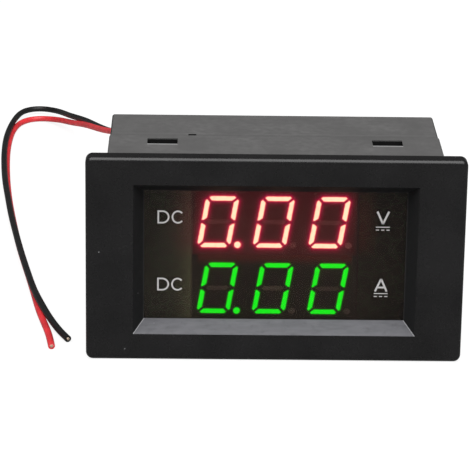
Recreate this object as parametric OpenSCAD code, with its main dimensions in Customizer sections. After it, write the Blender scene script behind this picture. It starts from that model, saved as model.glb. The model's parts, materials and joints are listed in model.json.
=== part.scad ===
// Two-row digital panel meter: a red three-digit row over a green one behind a smoked window,
// in a snap-together plastic housing that is pushed into a rectangular panel cut-out.
// X runs to the right as the meter is read, Y runs back through the panel, Z is up.
// The origin is the middle of the panel plane, which is the back face of the bezel.

/* [Bezel] */
// Width of the bezel
bezel_w = 79; // [76:0.5:92]
// Height of the bezel
bezel_h = 44.6; // [43.6:0.2:56]
// Thickness of the bezel in front of the panel
bezel_t = 3.4; // [2.6:0.1:3.6]
// Corner radius of the bezel seen from the front
bezel_corner_r = 1.5; // [1.4:0.1:4]
// Round-over along the front edge of the bezel
bezel_edge_r = 1.2; // [0.4:0.1:1.3]

/* [Housing] */
// Width of the housing behind the panel
housing_w = 70.4; // [70:0.1:72]
// Height of the housing behind the panel
housing_h = 41.8; // [41.6:0.1:42.6]
// Depth of the housing behind the panel
housing_l = 34; // [33:0.5:48]
// Length of the front housing behind the panel, up to the seam
sleeve_l = 17.7; // [16.5:0.1:18.5]
// Corner radius of the housing seen from behind
housing_corner_r = 0.6; // [0.5:0.1:2]
// Round-over along the rear edge of the rear cover
cover_edge_r = 0.3; // [0.2:0.1:0.5]
// Thickness of the housing walls
wall = 1.8; // [1.4:0.1:1.9]
// How much the rear cover stands in from the front housing on each side
cover_step = 0.15; // [0.05:0.05:0.4]

/* [Window] */
// Width of the window recess at the face of the bezel
window_w = 59.2; // [57:0.2:61]
// Height of the window recess at the face of the bezel
window_h = 32.8; // [31.5:0.2:33.6]
// Depth of the recess down to the window
recess_depth = 3.8; // [3:0.1:4]
// Slope of the recess walls, as the inward step on each side
recess_inset = 2.2; // [1.2:0.1:2.6]
// Straight lip at the bottom of the recess
recess_lip = 0.3; // [0.2:0.1:0.6]
// Thickness of the window
filter_t = 1.2; // [0.8:0.1:1.4]
// How far the window reaches behind its rim on each side
filter_lap = 1; // [0.6:0.1:1.6]

/* [Latches] */
// Distance from the middle to each latch opening
latch_x = 23.8; // [18:0.2:26]
// Width of a latch opening
latch_w = 6.4; // [4:0.1:8]
// Length of a latch opening along the housing
latch_l = 4; // [3.2:0.1:4]
// Distance from the panel plane to a latch opening
latch_y = 11.4; // [11.4:0.1:12]
// Thickness of a latch hook
hook_t = 1.3; // [1:0.1:1.4]
// How far a hook's barb stands into its opening
barb_h = 0.5; // [0.4:0.1:1.2]
// Width of the pry notch in the seam
notch_w = 1.5; // [1:0.1:2.5]
// Sideways place of the pry notch
notch_x = -17.5; // [-19:0.1:-12]

/* [Panel clips] */
// Width of a panel clip tongue
clip_w = 11; // [8:0.5:14]
// Distance from the panel plane to the root of a clip tongue
clip_l = 14.5; // [12:0.1:15]
// Width of the slot around a clip tongue
clip_slot = 0.8; // [0.5:0.1:1.2]
// How far a clip stands out of the housing
clip_h = 1.8; // [1:0.1:2.4]
// Thinnest panel that the clips hold
grip_min = 2; // [1.2:0.1:2.5]

/* [Display] */
// Digits in a row
digits = 3; // [3:1:4]
// Distance from one digit to the next
digit_pitch = 11.65; // [11.4:0.05:13]
// Height of a digit
digit_h = 11.3; // [9:0.1:12.4]
// Width of an upright digit
digit_w = 7; // [5:0.1:7.4]
// Slant of the digits in degrees
digit_slant = 9.5; // [0:0.5:12]
// Thickness of a segment
segment_t = 1; // [0.8:0.05:1.4]
// Gap between two segments
segment_gap = 0.4; // [0.15:0.01:0.5]
// How far the outer corners of a digit are cut off
corner_cut = 0.65; // [0.2:0.05:0.9]
// Radius of a decimal point
dot_r = 0.72; // [0.5:0.02:0.8]
// Depth of the resin in a segment
segment_depth = 1.2; // [0.6:0.1:2]
// Height of one display row
row_h = 14.7; // [13.8:0.1:14.8]
// Depth of a display case
case_depth = 7; // [6.5:0.1:7.5]
// Distance from the middle of the window down to the middle of the two rows
rows_drop = 0.45; // [-0.4:0.05:0.5]

/* [Boards] */
// Gap between a circuit board and the side walls of the housing
board_side_gap = 1.3; // [1:0.1:1.6]
// Gap between a circuit board and the top and bottom walls of the housing
board_top_gap = 1.1; // [0.8:0.1:1.4]
// Thickness of the circuit boards
board_t = 1.6; // [1.2:0.1:1.8]
// Room between the main board and the rear cover
rear_room = 8.2; // [8:0.1:8.6]
// Distance from the side of a board to its row of pins
header_inset = 2; // [1.8:0.1:2.2]
// Pins in each board header
header_pins = 6; // [4:1:8]
// Distance from the sides of a board to its fixings
post_inset = 3; // [2.6:0.1:3.4]
// Radius of the posts that hold the boards
post_r = 2.1; // [1.8:0.1:2.4]

/* [Terminals] */
// Poles of the measuring terminal
poles = 4; // [2:1:5]
// Distance from one pole to the next
pole_pitch = 5.08; // [5:0.02:5.1]
// Height of the terminal block
terminal_h = 11; // [10.6:0.1:11.4]
// How far the terminal block stands out of the rear cover
terminal_proud = 1; // [0:0.1:2]
// Height of the middle of the terminal block
terminal_z = -9.4; // [-9.6:0.1:-9]
// Sideways place of the terminal block
terminal_x = 4; // [0:0.5:6]

/* [Leads] */
// Outside diameter of the leads
lead_d = 1.3; // [1.1:0.05:1.32]
// Sideways place of the lead plug
plug_x = -24; // [-24.2:0.1:-22]
// Height of the lead plug
plug_z = 8.5; // [7.5:0.1:9.5]
// Distance between the two leads at the plug
plug_pitch = 2.5; // [2.4:0.1:2.6]

/* [Trimmers] */
// Height of the trimmers
trim_z = 8; // [7:0.1:10]
// Sideways place of the voltage trimmer
voltage_trim_x = 12; // [10:0.5:13]
// Sideways place of the current trimmer
current_trim_x = 22; // [20.5:0.1:23]
// Side of a trimmer's square body
trim_side = 6.6; // [6:0.1:7]
// Radius of a trimmer's rotor
rotor_r = 1.6; // [1.2:0.05:2]
// Radius of the adjusting holes in the rear cover
adjust_r = 1.5; // [1.2:0.1:2]

/* [Hidden] */
$fn = 48;
eps = 0.01;

// Clearances
fit = 0.1;
window_gap = 0.2;
pin_fit = 0.12;
running_fit = 0.05;
opening_fit = 0.3;

// Stack of parts through the meter, front to back
front_y = -bezel_t;
filter_y = front_y + recess_depth;
frame_back_y = filter_y + filter_t + window_gap;
board1_y = frame_back_y + case_depth;
board1_back_y = board1_y + board_t;
cover_inner_y = housing_l - wall;
board2_back_y = cover_inner_y - rear_room;
board2_y = board2_back_y - board_t;
header_base_h = 2.5;
socket_back_y = board2_y - header_base_h;

// Window and its filter
inner_w = window_w - 2 * recess_inset;
inner_h = window_h - 2 * recess_inset;
filter_w = inner_w + 2 * filter_lap;
filter_h = inner_h + 2 * filter_lap;

// Housing cavity
cavity_w = housing_w - 2 * wall;
cavity_h = housing_h - 2 * wall;
cover_w = housing_w - 2 * cover_step;
cover_h = housing_h - 2 * cover_step;
lip_t = 1;
lip_reach = 1.5;
lip_root = 1.8;
hook_side_gap = 0.3;
hook_lead = 0.5;
hook_slope_l = 1.4;
hook_back_gap = 0.2;
notch_l = 1.2;
notch_depth = 1;
wedge_side_gap = 0.4;
wedge_tip_gap = 1.5;
shoulder_slope = 1.4;

// Boards and their fixings
board_w = cavity_w - 2 * board_side_gap;
board_h = cavity_h - 2 * board_top_gap;
header_x = board_w / 2 - header_inset;
post_x = board_w / 2 - post_inset;
post_z = board_h / 2 - post_inset;

// Display rows
case_w = digits * digit_pitch + 0.25;
voltage_z = row_h / 2 - rows_drop;
current_z = -row_h / 2 - rows_drop;
slant = tan(digit_slant);
digit_shift = -0.28;
dot_gap = 0.73;
dot_drop = 0.12;
pin_pitch = 2.54;
display_pin_rows = 10.16;
display_pins_per_row = 6;
display_pin_r = 0.25;
display_pin_proud = 1.2;

// Fixings
pilot_r = 0.95;
screw_r = 0.9;
screw_head_r = 1.8;
screw_head_h = 1.3;
screw_l = 6.4;
pilot_l = 5.5;
slot_w = 0.5;
slot_depth = 0.7;
screw_hole_r = 1.15;
square_pin = 0.64;
header_pin_proud = 1;
header_pin_gap = 2.5;
header_pin_reach = socket_back_y - board1_back_y - header_pin_gap;
strip_w = 2.5;

// Terminal block
terminal_w = poles * pole_pitch + 0.6;
terminal_d = housing_l + terminal_proud - board2_back_y;
terminal_screw_z = 2.6;
terminal_entry_z = -2.5;
entry_side = 3.5;
entry_depth = 7.5;
clamp_wall = 0.45;
clamp_depth = 2.2;
clamp_l = 4.6;
tail_side = 0.9;
head_hole_r = 2;
head_hole_depth = 3;
driver_r = 1.8;
terminal_head_h = 1.7;
terminal_slot_w = 0.6;
thread_r = 1.25;
terminal_thread_l = 4;
tail_proud = 1.2;
pole_groove = 0.5;

// Lead plug and its header
shroud_w = 7.4;
shroud_h = 5.7;
shroud_l = 7;
shroud_wall = 0.75;
shroud_floor = 1.6;
plug_l = 8.2;
plug_rim = 0.9;
lead_pin_reach = 4.2;
lead_pin_proud = 1.2;
contact_fit = 0.05;
contact_bore_l = 4.6;
contact_side = 1.6;
contact_l = 6.2;
plug_y = board2_back_y + shroud_floor;
plug_back_y = plug_y + plug_l;
lead_start_y = plug_y + contact_l;

// Trimmers
trim_h = 4.9;
rotor_h = 1.5;
rotor_recess = 0.1;

// The leads. Past the plug, each lead's centre follows points [x, y, height], where the height
// is measured from the centre of a lead that lies on the table the meter stands on
lying_z = -bezel_h / 2 + lead_d / 2;
plug_straight_l = 7.2;
red_way = [
    [-25.9, 50, 29.35], [-27.4, 61, 27.85], [-29.7, 72.5, 25.45], [-32.3, 84, 22.65],
    [-35.1, 96, 19.55], [-37.9, 108, 16.25], [-40.6, 121, 12.75], [-43.4, 134, 9.65],
    [-46.2, 146, 6.75], [-48.8, 155, 4.35], [-51, 162, 2.65], [-53, 167.5, 1.45],
    [-55.2, 171.3, 0.55], [-58.2, 173.8, 0.05], [-61.6, 173.2, 0], [-64, 170.2, 0],
    [-65.2, 166, 0], [-65.9, 160, 0], [-66.1, 151, 0], [-65.8, 140, 0], [-65, 127.5, 0],
    [-64, 115, 0], [-62.6, 101.2, 0], [-60.8, 87, 0], [-58.9, 73, 0], [-56.9, 60.2, 0],
    [-54.8, 48.1, 0], [-52.8, 36.2, 0], [-51.1, 24.9, 0], [-49.3, 16.2, 0], [-47.9, 9.5, 0],
    [-47, 2.5, 0]
];
black_way = [
    [-23.3, 52, 29.45], [-25.1, 65.5, 27.25], [-28, 79, 23.95], [-31.2, 92, 20.15],
    [-34.4, 104, 16.95], [-38.1, 116, 13.85], [-40.4, 127, 11.35], [-42.9, 138, 9.05],
    [-45.8, 149, 7.05], [-49.8, 158.5, 5.25], [-51.4, 166, 3.55], [-52.8, 171.6, 2.35],
    [-54.2, 176, 1.45], [-56.3, 179.4, 0.9], [-59.3, 181.2, 0.7], [-62.4, 180.1, 0.75],
    [-64.3, 176.9, 0.9], [-65.2, 172.6, 1.05], [-66, 167, 1.15], [-66.6, 159, 1.2],
    [-66.85, 150, 1.25], [-66.5, 138.5, 1.3], [-65.6, 125.7, 1.35], [-64.5, 113.2, 1.35],
    [-62.9, 100.5, 1.4], [-61.3, 87.2, 1.4], [-59.3, 73.7, 1.4], [-57.2, 60, 1.4],
    [-55.3, 48.9, 1.4], [-53.6, 39.1, 1.45], [-52.2, 31.6, 1.55], [-50.5, 25, 1.4],
    [-48.9, 19.5, 1], [-47.2, 14.8, 0.5], [-45.5, 10.6, 0.15], [-43.7, 6.8, 0]
];

function lead_route(side, way) =
    let (start = [plug_x + side * plug_pitch / 2, lead_start_y, plug_z])
    concat([start, start + [0, plug_straight_l, 0]], [for (p = way) p + [0, 0, lying_z]]);

red_route = lead_route(-1, red_way);
black_route = lead_route(1, black_way);
lead_rings = 40;
lead_sides = 8;

// ---------------------------------------------------------------- shared shapes

// Turns a shape so that its Z runs back along +Y, and sets its base at [x, y, z]
module facing_back(x, y, z) {
    translate([x, y, z]) rotate([-90, 0, 0]) children();
}

module rounded_rect(w, h, r) {
    square([w - 2 * r, h], center = true);
    square([w, h - 2 * r], center = true);
    for (sx = [-1, 1], sy = [-1, 1])
        translate([sx * (w / 2 - r), sy * (h / 2 - r)]) circle(r);
}

// A bar of rounded section from y0 to y1
module rounded_bar(w, h, r, y0, y1) {
    translate([0, y1, 0]) rotate([90, 0, 0]) linear_extrude(y1 - y0) rounded_rect(w, h, r);
}

module box(w, h, y0, y1, x = 0, z = 0) {
    translate([x - w / 2, y0, z - h / 2]) cube([w, y1 - y0, h]);
}

// The section of a plate across one direction, with both edges rounded at its base
module edge_section(span, t, r) {
    translate([-span / 2 + r, 0]) square([span - 2 * r, t]);
    translate([-span / 2, r]) square([span, t - r]);
    for (s = [-1, 1]) translate([s * (span / 2 - r), r]) circle(r);
}

// A plate with rounded corners whose edge is rounded over on its base side
module soft_plate(w, h, t, corner_r, edge_r) {
    for (sx = [-1, 1], sy = [-1, 1])
        translate([sx * (w / 2 - corner_r), sy * (h / 2 - corner_r), 0])
            rotate_extrude() intersection() {
                edge_section(2 * corner_r, t, edge_r);
                square([corner_r, t]);
            }
    translate([-w / 2 + corner_r, 0, 0]) rotate([90, 0, 90])
        linear_extrude(w - 2 * corner_r) edge_section(h, t, edge_r);
    translate([0, h / 2 - corner_r, 0]) rotate([90, 0, 0])
        linear_extrude(h - 2 * corner_r) edge_section(w, t, edge_r);
}

module four_corners(x, z) {
    for (sx = [-1, 1], sz = [-1, 1]) translate([sx * x, 0, sz * z]) children();
}

// A row of round or square pins along X, from y0 to y1
module pin_row(count, pitch, y0, y1, r) {
    for (i = [0 : count - 1])
        translate([(i - (count - 1) / 2) * pitch, 0, 0])
            facing_back(0, y0, 0) cylinder(h = y1 - y0, r = r);
}

// ---------------------------------------------------------------- housing

// The window recess: its walls slope inwards from the face down to a straight lip
module recess_cut() {
    y0 = front_y - 1;
    y1 = filter_y - recess_lip;
    flare = recess_inset / (y1 - front_y);
    mouth_x = window_w / 2 + flare;
    mouth_z = window_h / 2 + flare;
    intersection() {
        translate([0, 0, -window_h]) linear_extrude(2 * window_h)
            polygon([[-mouth_x, y0], [mouth_x, y0], [inner_w / 2, y1], [-inner_w / 2, y1]]);
        translate([-window_w, 0, 0]) rotate([90, 0, 90]) linear_extrude(2 * window_w)
            polygon([[y0, -mouth_z], [y0, mouth_z], [y1, inner_h / 2], [y1, -inner_h / 2]]);
    }
}

module front_shell() {
    facing_back(0, front_y, 0)
        soft_plate(bezel_w, bezel_h, bezel_t, bezel_corner_r, bezel_edge_r);
    rounded_bar(housing_w, housing_h, housing_corner_r, -eps, sleeve_l);
}

module latch_openings() {
    for (s = [-1, 1])
        box(latch_w, housing_h + 2, latch_y, latch_y + latch_l, x = s * latch_x);
}

// Three slots that free a tongue in each side wall
module clip_slots() {
    cut_w = housing_w + 2;
    for (s = [-1, 1])
        box(cut_w, clip_slot, grip_min, clip_l, z = s * (clip_w + clip_slot) / 2);
    box(cut_w, clip_w + 2 * clip_slot, grip_min - clip_slot, grip_min);
}

// The wedge on a tongue: its sloping shoulder pulls the bezel against the panel
module clip_wedge() {
    side = housing_w / 2;
    tip_y = clip_l - wedge_tip_gap;
    translate([0, 0, -clip_w / 2 + wedge_side_gap]) linear_extrude(clip_w - 2 * wedge_side_gap)
        polygon([[side - eps, grip_min], [side, grip_min],
                 [side + clip_h, grip_min + clip_h * shoulder_slope],
                 [side, tip_y], [side - eps, tip_y]]);
}

module front_housing() color([0.1, 0.1, 0.11]) {
    difference() {
        front_shell();
        box(cavity_w, cavity_h, frame_back_y, sleeve_l + 1);
        recess_cut();
        box(inner_w, inner_h, filter_y - recess_lip - eps, filter_y + eps);
        box(filter_w + 2 * fit, filter_h + 2 * fit, filter_y, frame_back_y + eps);
        latch_openings();
        clip_slots();
    }
    difference() {
        four_corners(post_x, post_z)
            facing_back(0, frame_back_y - eps, 0) cylinder(h = case_depth + eps, r = post_r);
        four_corners(post_x, post_z)
            facing_back(0, board1_y - pilot_l, 0) cylinder(h = pilot_l + 1, r = pilot_r);
    }
    clip_wedge();
    mirror([1, 0, 0]) clip_wedge();
}

// A hook that reaches forward inside the sleeve, with a barb that stands up into its opening
module latch_hook() {
    top = cavity_h / 2 - fit;
    tip_y = latch_y - hook_lead;
    back_y = latch_y + latch_l - hook_back_gap;
    translate([-latch_w / 2 + hook_side_gap, 0, 0]) rotate([90, 0, 90])
        linear_extrude(latch_w - 2 * hook_side_gap)
            polygon([[sleeve_l + lip_root, top - hook_t], [tip_y, top - hook_t],
                     [tip_y, top - hook_t / 2], [tip_y + hook_slope_l, top + barb_h + fit],
                     [back_y, top + barb_h + fit], [back_y, top], [sleeve_l + lip_root, top]]);
}

module cover_shell() {
    translate([0, housing_l, 0]) rotate([90, 0, 0])
        soft_plate(cover_w, cover_h, housing_l - sleeve_l, housing_corner_r, cover_edge_r);
}

// A ring inside the seam that lines the cover up in the sleeve
module seam_lip() {
    difference() {
        box(cavity_w - 2 * fit, cavity_h - 2 * fit, sleeve_l - lip_reach, sleeve_l + lip_root);
        box(cavity_w - 2 * fit - 2 * lip_t, cavity_h - 2 * fit - 2 * lip_t,
            sleeve_l - lip_reach - 1, sleeve_l + lip_root + 1);
    }
}

module rear_cover() color([0.12, 0.12, 0.13]) {
    difference() {
        cover_shell();
        box(cover_w - 2 * wall, cover_h - 2 * wall, sleeve_l - 1, cover_inner_y);
        box(terminal_w + 2 * opening_fit, terminal_h + 2 * opening_fit,
            cover_inner_y - 1, housing_l + 1, x = terminal_x, z = terminal_z);
        box(shroud_w + 2 * opening_fit, shroud_h + 2 * opening_fit,
            cover_inner_y - 1, housing_l + 1, x = plug_x, z = plug_z);
        for (x = [voltage_trim_x, current_trim_x])
            facing_back(x, cover_inner_y - 1, trim_z) cylinder(h = wall + 2, r = adjust_r);
        box(notch_w, 2 * notch_depth, sleeve_l - 1, sleeve_l + notch_l, x = notch_x, z = cover_h / 2);
    }
    seam_lip();
    for (sz = [0, 1]) mirror([0, 0, sz])
        for (s = [-1, 1]) translate([s * latch_x, 0, 0]) latch_hook();
    four_corners(post_x, post_z)
        facing_back(0, board2_back_y, 0) cylinder(h = cover_inner_y - board2_back_y + eps, r = post_r);
}

module window_filter() color([0.16, 0.1, 0.09, 0.6])
    box(filter_w, filter_h, filter_y, filter_y + filter_t);

// ---------------------------------------------------------------- displays

// Leans a point of an upright digit by the slant
function lean(p) = [p[0] - digit_w / 2 + (p[1] - digit_h / 2) * slant, p[1] - digit_h / 2];

// The upper half of an upright digit, left of its middle: the top segment's end and the side
// segment, both cut off at the digit's corner
function top_end() =
    let (h = digit_h, t = segment_t, g = segment_gap, c = corner_cut)
    [[g + t, h - t], [g + c / 2, h - c / 2], [g + c, h]];
function side_points() =
    let (h = digit_h, t = segment_t, g = segment_gap, c = corner_cut, m = digit_h / 2)
    [[0, m + g], [0, h - g - c], [c / 2, h - g - c / 2], [t, h - t - g],
     [t, m + t / 2 + g], [t / 3, m + g]];

function across(points) = [for (p = points) [digit_w - p[0], p[1]]];
function upside_down(points) = [for (p = points) [p[0], digit_h - p[1]]];
function backwards(points) = [for (i = [len(points) - 1 : -1 : 0]) points[i]];

// The corners of one segment of an upright digit: a on top, then clockwise to f, and g across
function segment_points(name) =
    let (w = digit_w, t = segment_t, g = segment_gap, m = digit_h / 2)
    name == "a" ? concat(top_end(), backwards(across(top_end()))) :
    name == "b" ? across(side_points()) :
    name == "c" ? across(upside_down(side_points())) :
    name == "d" ? upside_down(segment_points("a")) :
    name == "e" ? upside_down(side_points()) :
    name == "f" ? side_points() :
    [[t / 2 + 1.5 * g, m], [t + 1.5 * g, m + t / 2], [w - t - 1.5 * g, m + t / 2],
     [w - t / 2 - 1.5 * g, m], [w - t - 1.5 * g, m - t / 2], [t + 1.5 * g, m - t / 2]];

module segment_shape(name) polygon([for (p = segment_points(name)) lean(p)]);

module dot_shape() {
    p = lean([digit_w, dot_r - dot_drop]);
    translate([p[0] + dot_gap + dot_r, p[1]]) circle(dot_r);
}

function digit_x(i) = (i - (digits - 1) / 2) * digit_pitch + digit_shift;

// Places flat shapes of digit i as resin of the given depth behind a display's face
module resin(i, z, depth) {
    translate([digit_x(i), frame_back_y + depth, z]) rotate([90, 0, 0])
        linear_extrude(depth) children();
}

module lit_segments(z) {
    for (i = [0 : digits - 1], name = ["a", "b", "c", "d", "e", "f"])
        resin(i, z, segment_depth) segment_shape(name);
    resin(0, z, segment_depth) dot_shape();
}

module unlit_segments(z) {
    for (i = [0 : digits - 1]) resin(i, z, segment_depth) segment_shape("g");
    for (i = [1 : digits - 1]) resin(i, z, segment_depth) dot_shape();
}

module display_case(z) {
    difference() {
        box(case_w, row_h - fit, frame_back_y, board1_y, z = z);
        lit_segments(z);
        unlit_segments(z);
    }
}

module display_pins(z) {
    for (s = [-1, 1]) translate([0, 0, z + s * display_pin_rows / 2])
        pin_row(display_pins_per_row, pin_pitch, board1_y, board1_back_y + display_pin_proud,
                display_pin_r);
}

module voltage_display_case() color([0.2, 0.19, 0.19]) display_case(voltage_z);
module current_display_case() color([0.2, 0.19, 0.19]) display_case(current_z);
module voltage_lit_segments() color([1, 0.25, 0.15]) lit_segments(voltage_z);
module voltage_unlit_segments() color([0.45, 0.36, 0.34]) unlit_segments(voltage_z);
module current_lit_segments() color([0.1, 1, 0.1]) lit_segments(current_z);
module current_unlit_segments() color([0.4, 0.42, 0.38]) unlit_segments(current_z);
module voltage_display_pins() color("silver") display_pins(voltage_z);
module current_display_pins() color("silver") display_pins(current_z);

// ---------------------------------------------------------------- boards

// The two strips of board pins, upright at each side
module header_columns() {
    for (s = [-1, 1]) translate([s * header_x, 0, 0]) rotate([0, 90, 0]) children();
}

module header_hole_row(y0, y1) {
    header_columns() pin_row(header_pins, pin_pitch, y0, y1, square_pin / sqrt(2) + pin_fit);
}

module display_board() color([0.1, 0.35, 0.16]) {
    difference() {
        box(board_w, board_h, board1_y, board1_back_y);
        four_corners(post_x, post_z)
            facing_back(0, board1_y - 1, 0) cylinder(h = board_t + 2, r = screw_hole_r);
        for (z = [voltage_z, current_z], s = [-1, 1])
            translate([0, 0, z + s * display_pin_rows / 2])
                pin_row(display_pins_per_row, pin_pitch, board1_y - 1, board1_back_y + 1,
                        display_pin_r + pin_fit);
    }
}

module board_screws() color([0.75, 0.75, 0.76]) {
    head_y = board1_back_y + screw_head_h;
    four_corners(post_x, post_z) difference() {
        union() {
            facing_back(0, board1_back_y, 0) cylinder(h = screw_head_h, r = screw_head_r);
            facing_back(0, board1_back_y - screw_l, 0) cylinder(h = screw_l + eps, r = screw_r);
        }
        box(2 * screw_r, slot_w, head_y - slot_depth, head_y + 1);
        box(slot_w, 2 * screw_r, head_y - slot_depth, head_y + 1);
    }
}

// Square pins along X, from y0 to y1
module square_pin_row(count, y0, y1, side) {
    for (i = [0 : count - 1])
        box(side, side, y0, y1, x = (i - (count - 1) / 2) * pin_pitch);
}

module board_sockets() color([0.08, 0.08, 0.08]) {
    header_columns() difference() {
        box(header_pins * pin_pitch, strip_w, board1_back_y, socket_back_y);
        square_pin_row(header_pins, socket_back_y - header_pin_reach - 0.5, socket_back_y + 1,
                       square_pin + 2 * pin_fit);
    }
}

module board_headers() color([0.1, 0.1, 0.1]) {
    header_columns() difference() {
        box(header_pins * pin_pitch, strip_w, socket_back_y, board2_y);
        square_pin_row(header_pins, socket_back_y - 1, board2_y + 1, square_pin);
    }
}

module board_header_pins() color([0.8, 0.7, 0.4]) {
    header_columns()
        square_pin_row(header_pins, socket_back_y - header_pin_reach,
                       board2_back_y + header_pin_proud, square_pin);
}

module main_board() color([0.1, 0.35, 0.16]) {
    difference() {
        box(board_w, board_h, board2_y, board2_back_y);
        header_hole_row(board2_y - 1, board2_back_y + 1);
        for (i = [0 : poles - 1])
            box(tail_side + 2 * pin_fit, tail_side + 2 * pin_fit, board2_y - 1, board2_back_y + 1,
                x = pole_x(i), z = terminal_z + terminal_entry_z);
        for (s = [-1, 1])
            box(square_pin + 2 * pin_fit, square_pin + 2 * pin_fit, board2_y - 1,
                board2_back_y + 1, x = plug_x + s * plug_pitch / 2, z = plug_z);
        for (s = [-1, 1])
            box(shunt_w + 2 * pin_fit, shunt_t + 2 * pin_fit, board2_y - 1, board2_back_y + 1,
                x = shunt_x + s * (shunt_span - shunt_w) / 2, z = shunt_z);
    }
}

// ---------------------------------------------------------------- components

// A block of the given size, standing on its base
module standing(size) {
    translate([-size[0] / 2, -size[1] / 2, 0]) cube(size);
}

// A moulded chip that stands on the feet of the bent leads down both its sides
module chip(size, leads, pitch, reach) {
    lead_t = 0.2;
    lead_w = 0.4;
    lead_z = size[2] * 0.45;
    side_x = size[0] / 2;
    knee_x = side_x + reach * 0.5;
    translate([0, 0, 0.1]) standing([size[0], size[1], size[2] - 0.1]);
    for (turn = [0, 180], i = [0 : leads - 1])
        rotate([0, 0, turn]) translate([0, (i - (leads - 1) / 2) * pitch - lead_w / 2, 0]) {
            translate([side_x - lead_t, 0, lead_z]) cube([knee_x - side_x + lead_t, lead_w, lead_t]);
            translate([knee_x - lead_t, 0, 0]) cube([lead_t, lead_w, lead_z + lead_t]);
            translate([knee_x - lead_t, 0, 0]) cube([reach * 0.5 + lead_t, lead_w, lead_t]);
        }
}

// A chip resistor or capacitor with end caps, standing on its base
module chip_passive(size) {
    cap = size[0] * 0.2;
    inset = 0.03;
    translate([0, 0, inset]) standing([size[0] - 2 * cap + 2 * eps, size[1], size[2] - 2 * inset]);
    for (s = [-1, 1]) translate([s * (size[0] - cap) / 2, 0, 0]) standing([cap, size[1], size[2]]);
}

// Places [x, z] and sizes of the components on the back of each board
microcontroller_at = [19, 0];
microcontroller_size = [7.5, 12.8, 2.4];
transistor_x = -17;
transistor_size = [1.3, 2.9, 1.1];
transistor_step = 3.6;
amplifier_at = [-2, 9];
amplifier_size = [3.9, 4.9, 1.6];
regulator_at = [-22, -3.4];
regulator_size = [6.6, 6.1, 2.3];
regulator_tab_size = [5.4, 1.5, 0.5];
regulator_lead_size = [0.7, 2.4, 0.5];
regulator_lead_x = 2.28;
diode_at = [-23, 2.6];
diode_size = [4.8, 2.6, 2.2];
capacitor_at = [-13.5, 8.5];
capacitor_r = 3.15;
capacitor_h = 6.9;
capacitor_base = 6.6;
capacitor_base_h = 1;
capacitor_step = 0.6;
resistor_size = [3.2, 1.6, 0.6];
resistor_step = 4.6;
resistor_z = 15.2;
resistor_rows = [[-18, 5], [8, 4]];
upright_resistors_at = [-10, -14.2];
upright_resistor_step = 3.45;
upright_resistor_count = 4;
ceramic_size = [2, 1.25, 0.9];
ceramic_step = 4;
ceramic_rows = [[-14, 1, 3], [-12, -4, 2]];
shunt_x = 13;
shunt_z = -0.8;
shunt_w = 2;
shunt_t = 0.9;
shunt_span = 15;
shunt_h = 3.2;
shunt_proud = 1;

module microcontroller() color([0.14, 0.14, 0.14])
    facing_back(microcontroller_at[0], board1_back_y, microcontroller_at[1])
        chip(microcontroller_size, leads = 10, pitch = 1.27, reach = 1.4);

module digit_transistors() color([0.16, 0.16, 0.16])
    for (i = [0 : 2 * digits - 1])
        facing_back(transistor_x, board1_back_y, (i - digits + 0.5) * transistor_step)
            chip(transistor_size, leads = 2, pitch = 1.9, reach = 0.6);

module operational_amplifier() color([0.14, 0.14, 0.14])
    facing_back(amplifier_at[0], board2_back_y, amplifier_at[1])
        chip(amplifier_size, leads = 4, pitch = 1.27, reach = 1.1);

// A flat power package: the tab lies on the board and the body stands on it
module voltage_regulator() color([0.2, 0.2, 0.21])
    facing_back(regulator_at[0], board2_back_y, regulator_at[1]) {
        standing(regulator_size);
        translate([0, -(regulator_size[1] + regulator_tab_size[1]) / 2 + 0.05, 0])
            standing(regulator_tab_size);
        for (s = [-1, 1])
            translate([s * regulator_lead_x, (regulator_size[1] + regulator_lead_size[1]) / 2 - 0.05, 0])
                standing(regulator_lead_size);
    }

module polarity_diode() color([0.16, 0.16, 0.16])
    facing_back(diode_at[0], board2_back_y, diode_at[1]) chip_passive(diode_size);

module electrolytic_capacitor() color([0.72, 0.72, 0.74])
    facing_back(capacitor_at[0], board2_back_y, capacitor_at[1]) {
        standing([capacitor_base, capacitor_base, capacitor_base_h]);
        cylinder(h = capacitor_h - capacitor_step, r = capacitor_r);
        cylinder(h = capacitor_h, r = capacitor_r - 0.5);
    }

module chip_resistors() color([0.12, 0.12, 0.13]) {
    for (row = resistor_rows, i = [0 : row[1] - 1])
        facing_back(row[0] + resistor_step * i, board2_back_y, resistor_z)
            chip_passive(resistor_size);
    for (i = [0 : upright_resistor_count - 1])
        facing_back(upright_resistors_at[0] - upright_resistor_step * i, board2_back_y,
                    upright_resistors_at[1])
            rotate([0, 0, 90]) chip_passive(resistor_size);
}

module chip_capacitors() color([0.62, 0.5, 0.36]) {
    for (row = ceramic_rows, i = [0 : row[2] - 1])
        facing_back(row[0] + ceramic_step * i, board2_back_y, row[1]) chip_passive(ceramic_size);
}

// A flat resistance strip bent into a bridge, with its two legs through the board
module current_shunt() color([0.72, 0.6, 0.42]) {
    bridge_y = board2_back_y + shunt_h;
    box(shunt_span, shunt_t, bridge_y - shunt_w, bridge_y, x = shunt_x, z = shunt_z);
    for (s = [-1, 1])
        box(shunt_w, shunt_t, board2_y - shunt_proud, bridge_y,
            x = shunt_x + s * (shunt_span - shunt_w) / 2, z = shunt_z);
}

// ---------------------------------------------------------------- terminals

function pole_x(i) = terminal_x + (i - (poles - 1) / 2) * pole_pitch;

terminal_back_y = board2_back_y + terminal_d;

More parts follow.
